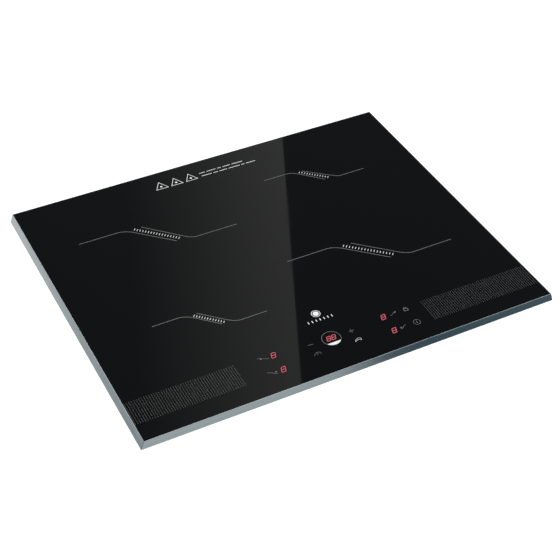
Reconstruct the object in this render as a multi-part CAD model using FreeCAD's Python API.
import FreeCAD, Part

import math
import os

from FreeCAD import Vector

# A built-in induction hob with four cooking zones, all sizes in mm.
# X runs left to right as the cook sees it, Y runs from the cook to the back, Z is up.
# The origin is the middle of the underside, at the foot of the steel pan.

# ---- Driving dimensions ----------------------------------------------------------------------

hob_width = 584.0  # over the frame trim, left to right
hob_depth = 476.0  # over the frame trim, front to back
room_under_trays = 33.6  # pan floor to the coil trays, for boards, fans and terminals

glass_thickness = 4.0
glass_corner = 1.2  # corner radius of the plate

trim_height = 12.3  # foot to lip
end_reach = 1.0  # how far the front and back bars stand out past the glass, at the foot
side_reach = 5.0  # the same for the left and right bars, which lean out more
trim_nose = 0.5  # upright edge at the foot
trim_foot = 6.8  # how far the foot runs in under the glass
trim_lip = 0.6  # flat lip beside the glass
lip_proud = 0.1  # how far the lip stands above the glass
trim_ledge = 16.0  # ledge that the glass lies on
ledge_thickness = 1.0  # and that of the wall and foot below it
glass_gap = 0.3  # sealant gap between glass edge and lip
mitre_gap = 0.5  # joint between two trim bars

bead_thickness = 0.5  # adhesive between ledge and glass
bead_width = 6.0
bead_inset = 3.0  # from the glass edge
gasket_thickness = 1.0  # foam tape that lies on the worktop
gasket_width = 6.0
gasket_inset = 1.5  # from the outer edge of the trim

sheet = 0.8  # steel of the pan
pan_inset = 9.0  # glass edge to the pan's outside
pan_corner = 8.0
flange_width = 6.0  # turned-out top edge of the pan

clamp_thickness = 2.0
clamp_width = 16.0
clamp_length = 42.0  # pivot to tip
clamp_lip = 2.4  # turned-up tip
clamp_pivot_inset = 14.0  # pan side to the pivot
clamp_from_end = 78.0  # pan front or back to the pivot
clamp_pocket_depth = 9.0
pocket_margin = 3.0  # free room round a parked clamp
pivot_radius = 2.5
pivot_head_radius = 5.0
pivot_head = 2.6
pivot_shoulder_radius = 4.0
running_clearance = 0.25  # radial, between a pin and what turns on it

insulation_thickness = 5.0  # fibre blanket between coil and glass
winding_height = 4.0
litz_pitch = 4.2  # one turn of litz wire
former_base = 2.0
ferrite_height = 3.5
ferrite_width = 12.0
spring_height = 7.0
spring_span = 26.0
spring_width = 6.0
spring_strip = 0.6
tray_thickness = 1.5
tray_inset = 15.0  # pan side to the tray's edge
tray_split = 8.0  # middle of the hob to the tray's edge
tray_front = 70.0  # pan front to the trays, kept free for the controls
tray_back = 12.0
standoff_radius = 4.0
standoff_spigot = 2.5  # radius of the foot clinched into the pan

large_coil_left = 100.0  # radius
large_coil_right = 105.0
small_coil = 72.5
coil_eye = 22.0  # inner radius of the winding
sensor_radius = 6.0

screw_radius = 1.75
screw_head_radius = 3.4
screw_head = 1.8
hole_clearance = 0.2  # radial, round a screw
pilot_clearance = 0.05  # radial, where a screw bites

board_thickness = 1.6
board_width = 178.0
board_depth = 218.0
board_lift = 6.0  # carrier plate to the board
carrier_plate = 2.0

fan_size = 80.0
fan_depth = 22.0
fan_bore = 38.0
fan_tip_gap = 1.5
fan_hub_radius = 16.0
fan_blades = 7
fan_blade_pitch = 38.0  # degrees
fan_shaft_radius = 1.5
fan_lift = 1.2  # soft pads under the fan frame

control_width = 236.0
control_depth = 50.0
control_wall = 1.6
control_height = 8.0
key_radius = 5.0

lid_width = 92.0
lid_height = 14.0
lid_thickness = 2.0
lid_gap = 0.4
hinge_pin_radius = 1.0
pin_clearance = 0.1  # radial, between the hinge pin and the lid's barrel
hinge_radius = 2.0
terminal_wall = 2.0
terminal_inside_depth = 40.0
terminal_from_right = 40.0
terminal_poles = 5
gland_bore = 5.0  # radius, for a 10 mm mains cable
gland_wall = 1.5
gland_flange = 1.5  # thickness
gland_brim = 2.4  # how far the flange stands out past the bore
gland_length = 12.0

# ---- Levels, stacked from the pan's floor up to the trim's lip, 58 mm in all ------------------

z_tray = sheet + room_under_trays
z_tray_top = z_tray + tray_thickness
z_former = z_tray_top + spring_height
z_winding = z_former + former_base
z_winding_top = z_winding + winding_height
z_glass = z_winding_top + insulation_thickness
z_glass_top = z_glass + glass_thickness
z_top = z_glass_top + lip_proud

z_ledge_top = z_glass - bead_thickness
z_ledge = z_ledge_top - ledge_thickness
z_flange = z_ledge - sheet
z_foot = z_top - trim_height

glass_x = hob_width / 2 - side_reach
glass_y = hob_depth / 2 - end_reach
pan_x = glass_x - pan_inset
pan_y = glass_y - pan_inset
inside_x = pan_x - sheet
inside_y = pan_y - sheet

z_board = sheet + carrier_plate + board_lift
z_board_top = z_board + board_thickness

# Coil centres, each set from the two glass edges beside it
coils = {
    "rear_left": (-glass_x + 165.0, glass_y - 131.5, large_coil_left, 8),
    "front_left": (-glass_x + 155.5, -glass_y + 155.5, small_coil, 6),
    "rear_right": (glass_x - 153.0, glass_y - 105.5, small_coil, 6),
    "front_right": (glass_x - 166.0, -glass_y + 182.5, large_coil_right, 8),
}

# Fans and boards, set from the pan's sides and back
fans = {
    "left": (-pan_x + 84.0, pan_y - 66.0),
    "right": (70.0, pan_y - 66.0),
}
board_side = 30.0  # pan side to the outer edge of a board
board_back = 118.0  # pan back to the back edge of a board
boards = {
    "left": (-pan_x + board_side, pan_y - board_back - board_depth),
    "right": (pan_x - board_side - board_width, pan_y - board_back - board_depth),
}

# Keys and digits, from the middle of the front edge of the glass
control_y = -glass_y + 46.0  # middle of the control board
digit_places = [(-89.0, 60.0), (-89.0, 32.5), (-10.0, 55.5), (68.5, 59.5), (68.5, 32.0)]
key_places = [
    (-106.0, 60.0),
    (-106.0, 32.5),
    (-39.0, 56.0),
    (-39.0, 37.0),
    (19.0, 55.5),
    (19.0, 37.0),
    (86.5, 60.0),
    (86.5, 31.5),
    (102.0, 60.0),
    (102.0, 32.0),
]


# ---- Small shapes ----------------------------------------------------------------------------


def block(x0, y0, z0, x1, y1, z1):
    """A box between two opposite corners."""
    return Part.makeBox(x1 - x0, y1 - y0, z1 - z0, Vector(x0, y0, z0))


def post(x, y, z0, z1, radius):
    """An upright round bar."""
    return Part.makeCylinder(radius, z1 - z0, Vector(x, y, z0))


def ring(x, y, z0, z1, inner, outer):
    """An upright tube."""
    return post(x, y, z0, z1, outer).cut(post(x, y, z0 - 1, z1 + 1, inner))


def plate(half_x, half_y, z0, z1, radius):
    """A flat slab centred on the origin, with its upright corners rounded."""
    slab = block(-half_x, -half_y, z0, half_x, half_y, z1)
    upright = [e for e in slab.Edges if abs(e.Vertexes[0].Z - e.Vertexes[-1].Z) > 1e-6]
    return slab.makeFillet(radius, upright)


def prism(points, z0, z1):
    """An upright prism on a polygon of (x, y) points."""
    outline = [Vector(x, y, z0) for x, y in points]
    return Part.Face(Part.makePolygon(outline + outline[:1])).extrude(Vector(0, 0, z1 - z0))


def turned(shape, angle, x=0.0, y=0.0):
    """A copy of the shape, turned about an upright axis."""
    copy = shape.copy()
    copy.rotate(Vector(x, y, 0), Vector(0, 0, 1), angle)
    return copy


def moved(shape, x, y, z=0.0):
    """A copy of the shape, shifted."""
    copy = shape.copy()
    copy.translate(Vector(x, y, z))
    return copy


def mirrored(shape, across_x, across_y):
    """A copy of the shape, reflected to the other side of X = 0, of Y = 0, or of both."""
    copy = shape.copy()
    if across_x:
        copy = copy.mirror(Vector(0, 0, 0), Vector(1, 0, 0))
    if across_y:
        copy = copy.mirror(Vector(0, 0, 0), Vector(0, 1, 0))
    return copy


def group(shapes):
    """Like pieces that share one node, still separate solids."""
    return Part.makeCompound([s for shape in shapes for s in shape.Solids])


def screw(foot, direction, length):
    """A pan-head screw: the head sits on foot and the shank runs on along direction."""
    shank = Part.makeCylinder(screw_radius, length, foot, direction)
    back = Vector(direction).multiply(-screw_head)
    head = Part.makeCylinder(screw_head_radius, screw_head, foot + back, direction)
    head = head.makeFillet(0.8, [e for e in head.Edges if (e.CenterOfMass - foot - back).Length < 1e-3])
    side = Vector(direction.z, direction.x, direction.y)
    across = side.cross(direction)
    slots = []
    for a, b in ((side, across), (across, side)):
        corner = foot + back - Vector(a).multiply(1.8) - Vector(b).multiply(0.35)
        face = Part.Face(
            Part.makePolygon(
                [
                    corner,
                    corner + Vector(a).multiply(3.6),
                    corner + Vector(a).multiply(3.6) + Vector(b).multiply(0.7),
                    corner + Vector(b).multiply(0.7),
                    corner,
                ]
            )
        )
        slots.append(face.extrude(Vector(direction).multiply(1.2)))
    return head.fuse(shank).cut(slots)


def hole(foot, direction, length, clearance):
    """What a screw's hole takes away, from half a millimetre behind its foot onwards."""
    start = foot - Vector(direction).multiply(0.5)
    return Part.makeCylinder(screw_radius + clearance, length + 0.5, start, direction)


UP = Vector(0, 0, 1)
DOWN = Vector(0, 0, -1)
BACK = Vector(0, 1, 0)


# ---- Glass, trim, adhesive and gasket --------------------------------------------------------


def glass_top():
    """The glass-ceramic plate, with its upper edge ground off."""
    slab = plate(glass_x, glass_y, z_glass, z_glass_top, glass_corner)
    rim = [e for e in slab.Edges if all(abs(v.Z - z_glass_top) < 1e-6 for v in e.Vertexes)]
    return slab.makeChamfer(0.4, rim)


def trim_bar(half_side, half_across, reach, next_reach):
    """One bar, as the front one: a C section run along X, mitred to a bar that stands out by next_reach."""
    lip = glass_gap + trim_lip
    lean = (reach - lip) / (trim_height - trim_nose)
    section = [
        (-trim_ledge, z_ledge),
        (lip + lean * (z_top - z_ledge) - ledge_thickness, z_ledge),
        (reach - ledge_thickness, z_foot + ledge_thickness),
        (-trim_foot, z_foot + ledge_thickness),
        (-trim_foot, z_foot),
        (reach, z_foot),
        (reach, z_foot + trim_nose),
        (lip, z_top),
        (glass_gap, z_top),
        (glass_gap, z_ledge_top),
        (-trim_ledge, z_ledge_top),
    ]
    end = half_side + next_reach
    outline = [Vector(-end, -half_across - u, z) for u, z in section]
    bar = Part.Face(Part.makePolygon(outline + outline[:1])).extrude(Vector(2 * end, 0, 0))
    inner = trim_ledge + 1
    cut_back = mitre_gap / math.sqrt(2)
    corner_x, corner_y = half_side - cut_back, -half_across
    right_end = [
        (corner_x - inner, corner_y + inner),
        (corner_x + lip, corner_y - lip),
        (corner_x + 2 * next_reach - lip, corner_y - 2 * reach + lip),
    ]
    left_end = [(-x, y) for x, y in reversed(right_end)]
    return bar.common(prism(right_end + left_end, z_foot - 1, z_top + 1))


def trim_bars():
    """The four bars. The back and right bars are the front and left ones turned half round."""
    front = trim_bar(glass_x, glass_y, end_reach, side_reach)
    side = trim_bar(glass_y, glass_x, side_reach, end_reach)
    return {
        "trim_front": front,
        "trim_back": turned(front, 180),
        "trim_left": turned(side, -90),
        "trim_right": turned(side, 90),
    }


def frame_ring(outer_x, outer_y, width, z0, z1, radius):
    """A flat rectangular ring."""
    outer = plate(outer_x, outer_y, z0, z1, radius)
    return outer.cut(plate(outer_x - width, outer_y - width, z0 - 1, z1 + 1, radius / 2))


def glass_adhesive():
    x, y = glass_x - bead_inset, glass_y - bead_inset
    return frame_ring(x, y, bead_width, z_ledge_top, z_glass, 3.0)


def rim_gasket():
    x, y = hob_width / 2 - gasket_inset, hob_depth / 2 - gasket_inset
    return frame_ring(x, y, gasket_width, z_foot - gasket_thickness, z_foot, 3.0)


# ---- Worktop clamps --------------------------------------------------------------------------

z_clamp = pivot_head + 1.4
z_clamp_top = z_clamp + clamp_thickness
clamp_x = pan_x - clamp_pivot_inset
clamp_y = pan_y - clamp_from_end
clamp_sides = {
    "front_left": (True, True),
    "front_right": (False, True),
    "rear_left": (True, False),
    "rear_right": (False, False),
}


def clamp_arm():
    """The rear right clamp as it is parked: a steel strip along -Y from its pivot, its tip turned up."""
    half = clamp_width / 2
    strip = block(-half, -clamp_length, z_clamp, half, 0, z_clamp_top)
    strip = strip.fuse(post(0, 0, z_clamp, z_clamp_top, half))
    tip = [
        e
        for e in strip.Edges
        if abs(e.Vertexes[0].Z - e.Vertexes[-1].Z) > 1e-6 and e.CenterOfMass.y < -clamp_length + 1
    ]
    strip = strip.makeFillet(3.0, tip)
    lip = block(
        -half + 3.5,
        -clamp_length,
        z_clamp_top,
        half - 3.5,
        -clamp_length + clamp_thickness,
        z_clamp_top + clamp_lip,
    )
    rib = block(-1.5, -clamp_length + 6, z_clamp_top, 1.5, -half - 3, z_clamp_top + 0.8)
    bore = post(0, 0, z_clamp - 1, z_clamp_top + 1, pivot_radius + running_clearance)
    return moved(strip.fuse([lip, rib]).cut(bore).removeSplitter(), clamp_x, clamp_y)


def clamp_pivot():
    """The shoulder screw that the rear right clamp turns on, and its nut inside the pan."""
    z_roof = clamp_pocket_depth
    z_head = z_clamp - pivot_head
    head = post(0, 0, z_head, z_clamp, pivot_head_radius)
    slot = block(-pivot_head_radius, -0.6, z_head, pivot_head_radius, 0.6, z_head + 1.2)
    shank = post(0, 0, z_clamp, z_roof + sheet + 4.5, pivot_radius)
    shoulder = post(0, 0, z_clamp_top, z_roof, pivot_shoulder_radius)
    nut = prism([(4.6 * math.cos(a), 4.6 * math.sin(a)) for a in (math.pi / 3 * i for i in range(6))], 0, 3.6)
    nut = moved(nut, 0, 0, z_roof + sheet)
    pin = head.fuse([shank, shoulder]).cut(slot)
    return moved(Part.makeCompound([pin, nut.cut(post(0, 0, 0, 30, pivot_radius))]), clamp_x, clamp_y)


def clamp_pocket(grow):
    """The room pressed into the pan for a rear right clamp to swing in. grow adds the sheet round it."""
    half = clamp_width / 2 + pocket_margin + grow
    return block(
        clamp_x - half,
        clamp_y - clamp_length - pocket_margin - grow,
        -1.0,
        pan_x + 1,
        clamp_y + half,
        clamp_pocket_depth + grow,
    )


# ---- Pan -------------------------------------------------------------------------------------

window_right = inside_x - terminal_from_right
window_left = window_right - lid_width
window_z = 17.2
gland_x = window_left + 16.0
gland_z = 9.4
bracket_width = 16.0
bracket_drop = 12.0

terminal_top = window_z + lid_height + 3.0
terminal_x0 = window_left - terminal_wall
terminal_x1 = window_right + terminal_wall
terminal_y0 = inside_y - terminal_inside_depth
terminal_screw_x = (terminal_x0 + 18, terminal_x1 - 18)
terminal_screw_y = terminal_y0 - 5
hinge_y = pan_y - lid_thickness / 2 - 0.3
hinge_z = window_z + lid_height - hinge_radius - lid_gap


def bracket_places():
    """Two brackets on each side of the pan: the middle of each, and the way out of the pan there."""
    along_x, along_y = pan_x - 110.0, pan_y - 100.0
    places = [(x, y * pan_y, Vector(0, y, 0)) for x in (-along_x, along_x) for y in (-1, 1)]
    return places + [(x * pan_x, y, Vector(x, 0, 0)) for y in (-along_y, along_y) for x in (-1, 1)]


def bracket_screw_foot(x, y):
    """Where a bracket screw's head meets the outside of the pan."""
    return Vector(x, y, z_flange - 6.0)


def tray_corners(side):
    """The four standoffs under a coil tray, clear of the clamp pockets, boards and fans."""
    sign = -1 if side == "left" else 1
    outer, inner = pan_x - 22.0, tray_split + 9.0
    front, back = -pan_y + tray_front + 9.0, pan_y - tray_back - 12.0
    return [
        (sign * outer, -70.0),
        (sign * outer, 70.0),
        (sign * inner, front),
        (sign * inner, back),
    ]


def slot_row(x0, x1, count, y0, y1):
    """A row of slots through the pan's floor, each with round ends."""
    step = (x1 - x0) / (count - 1)
    cuts = []
    for i in range(count):
        x = x0 + step * i
        bar = block(x - 2, y0 + 2, -1, x + 2, y1 - 2, sheet + 1)
        cuts.append(bar.fuse([post(x, y0 + 2, -1, sheet + 1, 2), post(x, y1 - 2, -1, sheet + 1, 2)]))
    return cuts


def fan_grille(x, y):
    """The intake under a fan: three rings of curved slots."""
    cuts = []
    for radius, count in ((14.0, 4), (23.0, 6), (32.0, 8)):
        band = ring(x, y, -1, sheet + 1, radius - 2.5, radius + 2.5)
        ribs = [
            turned(block(x, y - 2, -2, x + radius + 4, y + 2, sheet + 2), 360.0 / count * i, x, y)
            for i in range(count)
        ]
        cuts += band.cut(ribs).Solids
    return cuts


def base_pan():
    """The pressed steel pan: floor, four walls, turned-out flange, clamp pockets and all its holes."""
    outer = plate(pan_x, pan_y, 0, z_ledge, pan_corner)
    inner = plate(inside_x, inside_y, sheet, z_ledge + 1, pan_corner - sheet)
    pockets = [mirrored(clamp_pocket(0), *s) for s in clamp_sides.values()]
    raised = [mirrored(clamp_pocket(sheet), *s) for s in clamp_sides.values()]
    shell = outer.cut(pockets).cut(inner.cut(raised))
    flange = plate(pan_x + flange_width, pan_y + flange_width, z_flange, z_ledge, pan_corner + flange_width)
    shell = shell.fuse(flange.cut(plate(inside_x, inside_y, 0, z_ledge + 1, pan_corner - sheet)))

    cuts = []
    for side in clamp_sides.values():
        cuts.append(mirrored(post(clamp_x, clamp_y, 0, 20, pivot_radius + pilot_clearance), *side))
    for x, y in fans.values():
        cuts += fan_grille(x, y)
        cuts += [post(x + a, y + b, -1, 3, screw_radius + pilot_clearance) for a, b in fan_corners()]
    for side in ("left", "right"):
        sign = -1 if side == "left" else 1
        for near, far in ((40.0, 130.0), (150.0, 225.0)):
            cuts += slot_row(sign * near, sign * far, 10, -pan_y + 16, -pan_y + 46)
        cuts += [post(x, y, -1, 3, standoff_spigot + pilot_clearance) for x, y in tray_corners(side)]
    cuts += [hole(bracket_screw_foot(x, y), out * -1, 3, hole_clearance) for x, y, out in bracket_places()]
    cuts += [post(x, terminal_screw_y, -1, 3, screw_radius + pilot_clearance) for x in terminal_screw_x]
    gland_start = Vector(gland_x, inside_y - 2, gland_z)
    gland = Part.makeCylinder(gland_bore + gland_wall, 6, gland_start, BACK)
    window = block(window_left, inside_y - 2, window_z, window_right, pan_y + 2, window_z + lid_height)
    return shell.cut(cuts + [gland, window]).removeSplitter()


def frame_brackets():
    """Eight L brackets, spot-welded under the ledge and screwed to the pan's walls from outside."""
    pieces = []
    for x, y, out in bracket_places():
        side = Vector(-out.y, out.x, 0)
        wall = Vector(x, y, 0) - out * sheet
        foot = bracket_screw_foot(x, y)
        section = [
            wall + Vector(0, 0, z_ledge),
            wall + Vector(0, 0, z_ledge - bracket_drop),
            wall - out * 1.2 + Vector(0, 0, z_ledge - bracket_drop),
            wall - out * 1.2 + Vector(0, 0, z_ledge - 1.2),
            wall - out * 11.0 + Vector(0, 0, z_ledge - 1.2),
            wall - out * 11.0 + Vector(0, 0, z_ledge),
        ]
        outline = [p - side * (bracket_width / 2) for p in section]
        piece = Part.Face(Part.makePolygon(outline + outline[:1])).extrude(side * bracket_width)
        pieces.append(piece.cut(hole(foot, out * -1, 6, pilot_clearance)))
    return group(pieces)


# ---- Coil trays and coils --------------------------------------------------------------------


def tray_outline(side):
    """The tray's four edges: x from, y from, x to, y to."""
    x0, x1 = tray_split, pan_x - tray_inset
    if side == "left":
        x0, x1 = -x1, -x0
    return x0, -pan_y + tray_front, x1, pan_y - tray_back


def coil_tray(side):
    """An aluminium sheet under two coils, with an eye under each coil, a turned-down front and vent slots."""
    x0, y0, x1, y1 = tray_outline(side)
    sheet_part = block(x0, y0, z_tray, x1, y1, z_tray_top)
    lip = block(x0 + 30, y0, z_tray - 6, x1 - 30, y0 + tray_thickness, z_tray)
    low, high = z_tray - 1, z_tray_top + 1
    cuts = [post(x, y, low, high, screw_radius + hole_clearance) for x, y in tray_corners(side)]
    for name, (x, y, radius, bars) in coils.items():
        if name.endswith(side):
            cuts.append(post(x, y, low, high, coil_eye - 6))
            vent = block(x + radius - 34, y - 3, low, x + radius - 14, y + 3, high)
            cuts += [turned(vent, angle, x, y) for angle in (0, 90, 180, 270)]
    return sheet_part.fuse(lip).cut(cuts).removeSplitter()


def tray_standoffs():
    """Threaded posts that carry the trays, clinched into the pan's floor."""
    pieces = []
    for side in ("left", "right"):
        for x, y in tray_corners(side):
            body = post(x, y, sheet, z_tray, standoff_radius).fuse(post(x, y, 0, sheet, standoff_spigot))
            pieces.append(body.cut(hole(Vector(x, y, z_tray), DOWN, 8, pilot_clearance)))
    return group(pieces)


def spring_angles(bars):
    """Three springs to a coil, each in a gap between two ferrite bars."""
    step = 360.0 / bars
    return [step * (0.5 + round(i * bars / 3)) for i in range(3)]


def coil_springs():
    """Bowed leaf springs that press the coils up against the blanket and the glass."""
    half, width = spring_span / 2, spring_width
    feet = [Vector(x, -width / 2, 0) for x in (-half, half, half - spring_strip, spring_strip - half)]
    crown = Part.Arc(feet[0], Vector(0, -width / 2, spring_height), feet[1]).toShape()
    hollow = Part.Arc(feet[2], Vector(0, -width / 2, spring_height - spring_strip), feet[3]).toShape()
    ends = [Part.makeLine(feet[1], feet[2]), Part.makeLine(feet[3], feet[0])]
    bow = Part.Face(Part.Wire([crown, ends[0], hollow, ends[1]])).extrude(Vector(0, width, 0))
    pieces = []
    for x, y, radius, bars in coils.values():
        at_right = moved(turned(bow, 90), x + radius - 20, y, z_tray_top)
        pieces += [turned(at_right, angle, x, y) for angle in spring_angles(bars)]
    return group(pieces)


def coil_former(x, y, radius, bars):
    """The moulded disc that holds the winding: a flat base, an inner and an outer wall, and vent holes."""
    base = ring(x, y, z_former, z_winding, coil_eye - 6, radius)
    hub = ring(x, y, z_winding, z_winding_top, coil_eye - 6, coil_eye - 3)
    rim = ring(x, y, z_winding, z_winding_top, radius - 2, radius)
    cuts = [
        post(x + r * math.cos(a), y + r * math.sin(a), z_former - 1, z_winding + 1, 2.5)
        for r in (coil_eye + 8, radius - 12)
        for a in (math.radians(360.0 / bars * (i + 0.5)) for i in range(bars))
    ]
    exit_notch = block(x - radius - 1, y - 4, z_winding, x - radius + 3, y + 4, z_winding_top + 1)
    return base.fuse([hub, rim]).cut(cuts + [exit_notch]).removeSplitter()


def coil_winding(x, y, radius):
    """The flat spiral of litz wire, as rings of round-topped turns side by side."""
    first = coil_eye - 2.5
    turns = int((radius - 2.5 - first) / litz_pitch)
    start = Vector(first, 0, z_winding)
    half = litz_pitch / 2
    shoulder = z_winding + winding_height - half
    edges = [Part.makeLine(start, Vector(first, 0, shoulder))]
    for i in range(turns):
        r = first + i * litz_pitch
        crown = Vector(r + half, 0, z_winding_top - 0.1)
        edges.append(Part.Arc(Vector(r, 0, shoulder), crown, Vector(r + litz_pitch, 0, shoulder)).toShape())
    last = first + turns * litz_pitch
    edges.append(Part.makeLine(Vector(last, 0, shoulder), Vector(last, 0, z_winding)))
    edges.append(Part.makeLine(Vector(last, 0, z_winding), start))
    face = Part.Face(Part.Wire(edges))
    return moved(face.revolve(Vector(0, 0, 0), UP, 360), x, y)


def coil_ferrites(x, y, radius, bars):
    """Ferrite bars glued under the former like spokes."""
    half = ferrite_width / 2
    bar = block(x + coil_eye + 2, y - half, z_former - ferrite_height, x + radius - 6, y + half, z_former)
    return group([turned(bar, 360.0 / bars * i, x, y) for i in range(bars)])


def coil_insulation(side):
    """The two fibre blankets of one half, a disc on each coil with an eye for the sensor."""
    return group(
        [
            ring(x, y, z_winding_top, z_glass, sensor_radius + 2, radius)
            for name, (x, y, radius, bars) in coils.items()
            if name.endswith(side)
        ]
    )


def temperature_sensors():
    """The soft caps that feel the glass in the middle of each coil, each on its stem."""
    pieces = []
    for x, y, radius, bars in coils.values():
        cap = post(x, y, z_glass - 6, z_glass, sensor_radius)
        stem = post(x, y, z_tray_top + 1, z_glass - 6, 2.0)
        brim = post(x, y, z_winding - 1, z_winding, sensor_radius + 2)
        pieces.append(cap.fuse([stem, brim]))
    return group(pieces)


def sensor_bridges():
    """The spring strips across each former's eye that carry the sensors."""
    pieces = []
    for x, y, radius, bars in coils.values():
        strip = block(x - coil_eye, y - 5, z_former - 0.6, x + coil_eye, y + 5, z_former)
        pieces.append(strip.cut(post(x, y, z_former - 2, z_former + 1, 2.0 + pilot_clearance)))
    return group(pieces)


# ---- Boards and what they carry --------------------------------------------------------------


def board_screw_places(side):
    x0, y0 = boards[side]
    x1, y1 = x0 + board_width, y0 + board_depth
    return [(x, y) for x in (x0 + 7, x1 - 7) for y in (y0 + 7, y1 - 7)]


def board_carrier():
    """One moulded tray that lifts both boards off the steel, with a post under each board screw."""
    margin = 3.0
    x0 = boards["left"][0] - margin
    x1 = boards["right"][0] + board_width + margin
    y0, y1 = boards["left"][1] - margin, boards["left"][1] + board_depth + margin
    floor = block(x0, y0, sheet, x1, y1, sheet + carrier_plate)
    inner = 1.6
    wall = floor.fuse(block(x0, y0, sheet, x1, y1, z_board - 1)).cut(
        block(x0 + inner, y0 + inner, sheet + carrier_plate, x1 - inner, y1 - inner, z_board)
    )
    posts, bores = [], []
    for side in ("left", "right"):
        for x, y in board_screw_places(side):
            posts.append(post(x, y, sheet, z_board, 4.0))
            bores.append(hole(Vector(x, y, z_board), DOWN, 7, pilot_clearance))
    rooms = [
        post(x, y, 0, z_board + 1, standoff_radius + 2)
        for side in ("left", "right")
        for x, y in tray_corners(side)
    ]
    middle = block(-22, y0 + 30, 0, 22, y1 - 30, z_board + 1)
    return wall.fuse(posts).cut(bores + rooms + [middle]).removeSplitter()


def power_board(side):
    """The inverter board of one half."""
    x0, y0 = boards[side]
    board = block(x0, y0, z_board, x0 + board_width, y0 + board_depth, z_board_top)
    cuts = [post(x, y, 0, 20, screw_radius + hole_clearance) for x, y in board_screw_places(side)]
    cuts += [
        post(x, y, 0, 20, standoff_radius + 2) for x, y in tray_corners(side)
    ]
    return board.cut(cuts)


sink_width = 128.0
sink_depth = 40.0
sink_height = 23.0
sink_fins = 19


def sink_corner(side):
    x0, y0 = boards[side]
    return x0 + 24.0, y0 + board_depth - 52.0


def heat_sink(side):
    """An extruded heat sink: a foot plate and upright fins, in the fan's draught."""
    x0, y0 = sink_corner(side)
    foot = block(x0, y0, z_board_top, x0 + sink_width, y0 + sink_depth, z_board_top + 4)
    step = (sink_width - 1.6) / (sink_fins - 1)
    low, high = z_board_top + 4, z_board_top + sink_height
    fins = [
        block(x0 + step * i, y0, low, x0 + step * i + 1.6, y0 + sink_depth, high) for i in range(sink_fins)
    ]
    return foot.fuse(fins).removeSplitter()


def power_transistors():
    """Three power packages in front of each heat sink, standing on the board with their legs through it."""
    pieces = []
    for side in ("left", "right"):
        x0, y0 = sink_corner(side)
        for i in range(3):
            x = x0 + 20 + 36 * i
            body = block(x, y0 - 5, z_board_top + 3, x + 16, y0, z_board_top + 22)
            leg = block(x + 3, y0 - 3, z_board_top, x + 4, y0 - 2.3, z_board_top + 3)
            legs = [moved(leg, 4.5 * k, 0) for k in range(3)]
            pieces.append(body.fuse(legs))
    return group(pieces)


def film_capacitors():
    """Film capacitors in front of the transistors: two large ones and three small ones to a board."""
    pieces = []
    for side in ("left", "right"):
        x0, y0 = boards[side]
        for i, (w, d, h) in enumerate(((42, 20, 22), (42, 20, 22), (26, 12, 18), (26, 12, 18), (26, 12, 18))):
            x = x0 + 18 + (56 * i if i < 2 else 38 * (i - 2))
            y = y0 + (96 if i < 2 else 62)
            body = block(x, y, z_board_top, x + w, y + d, z_board_top + h)
            pieces.append(body.makeFillet(1.0, [e for e in body.Edges if e.CenterOfMass.z > z_board_top + 1]))
    return group(pieces)


def toroid_chokes():
    """Toroid chokes lying flat on the boards."""
    pieces = []
    for side in ("left", "right"):
        x0, y0 = boards[side]
        core = Part.makeTorus(11.0, 5.0, Vector(x0 + 150, y0 + 92, z_board_top + 5), UP)
        pieces += [core, moved(core, 0, -42)]
    return group(pieces)


filter_size = (104.0, 62.0)
filter_right = 36.0  # pan side to the board
filter_back = 50.0  # pan back to the board


def filter_corner():
    return pan_x - filter_right - filter_size[0], pan_y - filter_back - filter_size[1]


def filter_board():
    """The mains filter board beside the terminals, with its fuse, choke and capacitors soldered on."""
    x0, y0 = filter_corner()
    w, d = filter_size
    lift = sheet + 6.0
    board = block(x0, y0, lift, x0 + w, y0 + d, lift + board_thickness)
    feet = [post(x0 + a, y0 + b, sheet, lift, 3.0) for a in (6, w - 6) for b in (6, d - 6)]
    top = lift + board_thickness
    parts = [
        block(x0 + 12, y0 + 12, top, x0 + 44, y0 + 40, top + 18),
        block(x0 + 56, y0 + 10, top, x0 + 70, y0 + 36, top + 16),
        block(x0 + 76, y0 + 10, top, x0 + 90, y0 + 36, top + 16),
        Part.makeCylinder(3.2, 30, Vector(x0 + 56, y0 + 50, top + 3.2), Vector(1, 0, 0)),
    ]
    return group([board] + feet + parts)


# ---- Fans ------------------------------------------------------------------------------------

z_fan = sheet + fan_lift
z_fan_top = z_fan + fan_depth
z_rotor = z_fan + 2.5
z_rotor_top = z_fan_top - 4.5


def fan_corners():
    """The fan frame's four screws, from its middle."""
    reach = fan_size / 2 - 4.5
    return [(a * reach, b * reach) for a in (-1, 1) for b in (-1, 1)]


def fan_housing(x, y):
    """A square fan frame with a round duct, three arms to the motor plate and a bearing tube."""
    half = fan_size / 2
    body = block(x - half, y - half, z_fan, x + half, y + half, z_fan_top)
    upright = [e for e in body.Edges if abs(e.Vertexes[0].Z - e.Vertexes[-1].Z) > 1e-6]
    body = body.makeFillet(3.0, upright).cut(post(x, y, z_fan - 1, z_fan_top + 1, fan_bore))
    pads = [ring(x + a, y + b, sheet, z_fan, screw_radius + hole_clearance, 4.0) for a, b in fan_corners()]
    arms = [
        turned(block(x, y - 2, z_fan_top - 3, x + fan_bore + 1, y + 2, z_fan_top), angle, x, y)
        for angle in (45, 165, 285)
    ]
    motor_plate = post(x, y, z_fan_top - 3, z_fan_top, fan_hub_radius)
    tube = post(x, y, z_rotor + 4, z_fan_top - 3, 3.5)
    bore = post(x, y, z_rotor + 3, z_fan_top - 1, fan_shaft_radius + 0.1)
    screws = [post(x + a, y + b, 0, z_fan_top + 1, screw_radius + hole_clearance) for a, b in fan_corners()]
    return body.fuse(pads + arms + [motor_plate, tube]).cut([bore] + screws).removeSplitter()


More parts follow.
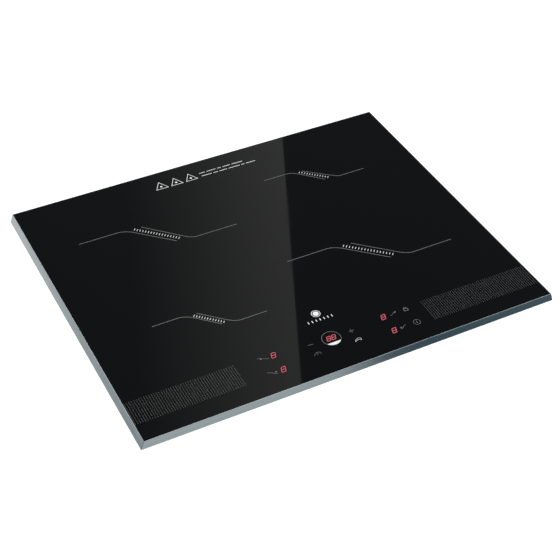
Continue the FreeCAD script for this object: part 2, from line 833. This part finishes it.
def fan_rotor(x, y):
    """The hub cup, its pressed-in shaft and seven pitched blades, which turn together."""
    cup = post(x, y, z_rotor, z_rotor_top, fan_hub_radius)
    cup = cup.cut(post(x, y, z_rotor + 1.5, z_rotor_top + 1, fan_hub_radius - 1.5))
    shaft = post(x, y, z_rotor + 1.5, z_fan_top - 2, fan_shaft_radius)
    tip = fan_bore - fan_tip_gap
    z_mid = (z_rotor + z_rotor_top) / 2
    blade = block(x + fan_hub_radius - 0.8, y - 8.5, z_mid - 0.6, x + tip + 4, y + 8.5, z_mid + 0.6)
    blade.rotate(Vector(x, y, z_mid), Vector(1, 0, 0), fan_blade_pitch)
    blade = blade.common(ring(x, y, z_rotor, z_rotor_top, fan_hub_radius - 0.8, tip))
    blades = [turned(blade, 360.0 / fan_blades * i, x, y) for i in range(fan_blades)]
    return cup.fuse(blades + [shaft]).removeSplitter()


def fan_stators():
    """The motor windings that sit on each bearing tube inside the rotor cup."""
    pieces = []
    for x, y in fans.values():
        pieces.append(ring(x, y, z_rotor + 5, z_fan_top - 3, 3.5, fan_hub_radius - 3.5))
    return group(pieces)


# ---- Controls --------------------------------------------------------------------------------

z_control = z_glass - 11.0
z_control_board = z_glass - 7.0
z_control_top = z_control_board + board_thickness


def control_box(grow, z0, z1):
    half_x, half_y = control_width / 2 - grow, control_depth / 2 - grow
    return block(-half_x, control_y - half_y, z0, half_x, control_y + half_y, z1)


def control_carrier():
    """The moulded tray under the touch area, on four legs that stand on the pan's floor."""
    z1 = z_control + control_height
    tray = control_box(0, z_control, z1).cut(control_box(control_wall, z_control + control_wall, z1 + 1))
    ledge = control_box(control_wall, z_control, z_control_board).cut(
        control_box(control_wall + 3, z_control + control_wall, z1 + 1)
    )
    legs = [
        post(a * (control_width / 2 - 5), control_y + b * (control_depth / 2 - 6), sheet, z_control, 4.0)
        for a in (-1, 1)
        for b in (-1, 1)
    ]
    return tray.fuse([ledge] + legs).removeSplitter()


def control_board():
    """The touch and display board, with its processor."""
    board = control_box(control_wall + 0.4, z_control_board, z_control_top)
    chip = block(30, control_y + 4, z_control_top, 44, control_y + 18, z_control_top + 1.4)
    return group([board, chip])


def digit_displays():
    """Seven-segment modules under the printed places of the digits. The middle one has two digits."""
    pieces = []
    for x, y in digit_places:
        half = 12.0 if abs(x) < 20 else 6.5
        middle = -glass_y + y
        body = block(x - half, middle - 8, z_control_top, x + half, middle + 8, z_glass - 0.4)
        pieces.append(body)
    return group(pieces)


def touch_pads():
    """Conductive foam pads that join the board to the glass under each key."""
    return group([post(x, -glass_y + y, z_control_top, z_glass, key_radius) for x, y in key_places])


# ---- Mains terminals -------------------------------------------------------------------------

def terminal_box():
    """The moulded box behind the rear window, open to the back, with the gland's hole in its open side."""
    outer = block(terminal_x0, terminal_y0, sheet, terminal_x1, inside_y, terminal_top)
    inner = block(
        terminal_x0 + terminal_wall,
        terminal_y0 + terminal_wall,
        sheet + terminal_wall,
        terminal_x1 - terminal_wall,
        inside_y + 1,
        terminal_top - terminal_wall,
    )
    ears = [
        block(x0, inside_y - 5, window_z + lid_height - 0.2, x0 + 3, inside_y, terminal_top)
        for x0 in (window_left, window_right - 3)
    ]
    foot = block(terminal_x0 + 8, terminal_y0 - 10, sheet, terminal_x1 - 8, terminal_y0, sheet + 2)
    bores = [post(x, terminal_screw_y, 0, 5, screw_radius + hole_clearance) for x in terminal_screw_x]
    return outer.cut(inner).fuse(ears + [foot]).cut(bores).removeSplitter()


def terminal_lid():
    """The lid in the window: a flat flap with a rolled top edge round the hinge pin and a finger lip."""
    x0, x1 = window_left + lid_gap, window_right - lid_gap
    flap = block(x0, pan_y - lid_thickness - 0.3, window_z + lid_gap, x1, pan_y - 0.3, hinge_z)
    barrel = Part.makeCylinder(hinge_radius, x1 - x0, Vector(x0, hinge_y, hinge_z), Vector(1, 0, 0))
    bore_start = Vector(x0 - 1, hinge_y, hinge_z)
    bore = Part.makeCylinder(hinge_pin_radius + pin_clearance, x1 - x0 + 2, bore_start, Vector(1, 0, 0))
    rib = block(x0 + 12, pan_y - 4.5, window_z + 4, x0 + 13.5, pan_y - lid_thickness, hinge_z - 5)
    ribs = [rib, moved(rib, x1 - x0 - 25.5, 0)]
    return flap.fuse([barrel] + ribs).cut(bore).removeSplitter()


def terminal_hinge_pin():
    """The pin through the lid's rolled edge, held at both ends by the pan's window."""
    return Part.makeCylinder(
        hinge_pin_radius, window_right - window_left, Vector(window_left, hinge_y, hinge_z), Vector(1, 0, 0)
    )


def terminal_block():
    """The five-pole terminal block: walls between the poles and a hole for each conductor."""
    pitch = 12.0
    width = pitch * terminal_poles + 2
    x0 = (window_left + window_right) / 2 - width / 2 + 6
    y0, y1 = terminal_y0 + terminal_wall, terminal_y0 + terminal_wall + 16
    z0, z1 = sheet + terminal_wall, sheet + terminal_wall + 22
    body = block(x0, y0, z0, x0 + width, y1, z1)
    cuts = []
    contacts = []
    for i in range(terminal_poles):
        x = x0 + 2 + pitch * i
        room = block(x, y0 + 3, z0 + 6, x + pitch - 2, y1 + 1, z1 + 1)
        cuts.append(room)
        clip = block(x, y0 + 3, z0 + 6, x + pitch - 2, y1 - 2, z0 + 14)
        clip = clip.cut(Part.makeCylinder(2.2, 30, Vector(x + pitch / 2 - 1, y0 + 4, z0 + 10), BACK))
        contacts.append(clip.fuse(post(x + pitch / 2 - 1, y0 + 8, z0 + 14, z0 + 18, 2.6)))
    return body.cut(cuts), group(contacts)


def cable_gland():
    """The grommet in the rear wall that the mains cable comes in through."""
    start = Vector(gland_x, pan_y + gland_flange - gland_length, gland_z)
    tube = Part.makeCylinder(gland_bore + gland_wall, gland_length, start, BACK)
    flange = Part.makeCylinder(gland_bore + gland_brim, gland_flange, Vector(gland_x, pan_y, gland_z), BACK)
    bore = Part.makeCylinder(gland_bore, gland_length + 2, start - BACK, BACK)
    return tube.fuse(flange).cut(bore)


# ---- Screws ----------------------------------------------------------------------------------


def pan_head_screws():
    """Every small screw of the hob, all of one kind."""
    pieces = [screw(bracket_screw_foot(x, y), out * -1, 3.4) for x, y, out in bracket_places()]
    for side in ("left", "right"):
        pieces += [screw(Vector(x, y, z_tray_top), DOWN, 7.0) for x, y in tray_corners(side)]
        pieces += [screw(Vector(x, y, z_board_top), DOWN, 7.0) for x, y in board_screw_places(side)]
    for x, y in fans.values():
        pieces += [screw(Vector(x + a, y + b, z_fan_top), DOWN, z_fan_top - 0.1) for a, b in fan_corners()]
    pieces += [screw(Vector(x, terminal_screw_y, sheet + 2), DOWN, sheet + 1.9) for x in terminal_screw_x]
    return group(pieces)


# ---- The whole hob ---------------------------------------------------------------------------


def all_nodes():
    nodes = {"glass_top": glass_top()}
    nodes.update(trim_bars())
    nodes["glass_adhesive"] = glass_adhesive()
    nodes["rim_gasket"] = rim_gasket()
    nodes["base_pan"] = base_pan()
    nodes["frame_brackets"] = frame_brackets()
    nodes["pan_head_screws"] = pan_head_screws()
    for side in ("left", "right"):
        nodes[f"coil_tray_{side}"] = coil_tray(side)
        nodes[f"coil_insulation_{side}"] = coil_insulation(side)
        nodes[f"power_board_{side}"] = power_board(side)
        nodes[f"heat_sink_{side}"] = heat_sink(side)
        nodes[f"fan_housing_{side}"] = fan_housing(*fans[side])
        nodes[f"fan_rotor_{side}"] = fan_rotor(*fans[side])
    nodes["fan_stators"] = fan_stators()
    nodes["tray_standoffs"] = tray_standoffs()
    nodes["coil_springs"] = coil_springs()
    for name, (x, y, radius, bars) in coils.items():
        nodes[f"coil_former_{name}"] = coil_former(x, y, radius, bars)
        nodes[f"coil_winding_{name}"] = coil_winding(x, y, radius)
        nodes[f"coil_ferrites_{name}"] = coil_ferrites(x, y, radius, bars)
    nodes["temperature_sensors"] = temperature_sensors()
    nodes["sensor_bridges"] = sensor_bridges()
    nodes["board_carrier"] = board_carrier()
    nodes["power_transistors"] = power_transistors()
    nodes["film_capacitors"] = film_capacitors()
    nodes["toroid_chokes"] = toroid_chokes()
    nodes["filter_board"] = filter_board()
    nodes["control_carrier"] = control_carrier()
    nodes["control_board"] = control_board()
    nodes["digit_displays"] = digit_displays()
    nodes["touch_pads"] = touch_pads()
    nodes["terminal_box"] = terminal_box()
    nodes["terminal_lid"] = terminal_lid()
    nodes["terminal_hinge_pin"] = terminal_hinge_pin()
    nodes["terminal_block"], nodes["terminal_contacts"] = terminal_block()
    nodes["cable_gland"] = cable_gland()
    pivots = []
    for name, side in clamp_sides.items():
        nodes[f"clamp_{name}"] = mirrored(clamp_arm(), *side)
        pivots.append(mirrored(clamp_pivot(), *side))
    nodes["clamp_pivots"] = group(pivots)
    return nodes


os.makedirs("parts", exist_ok=True)
for node, shape in all_nodes().items():
    if not shape.isValid() or not shape.Solids:
        raise ValueError(f"{node} is not a valid solid")
    shape.exportStep(f"parts/{node}.step")
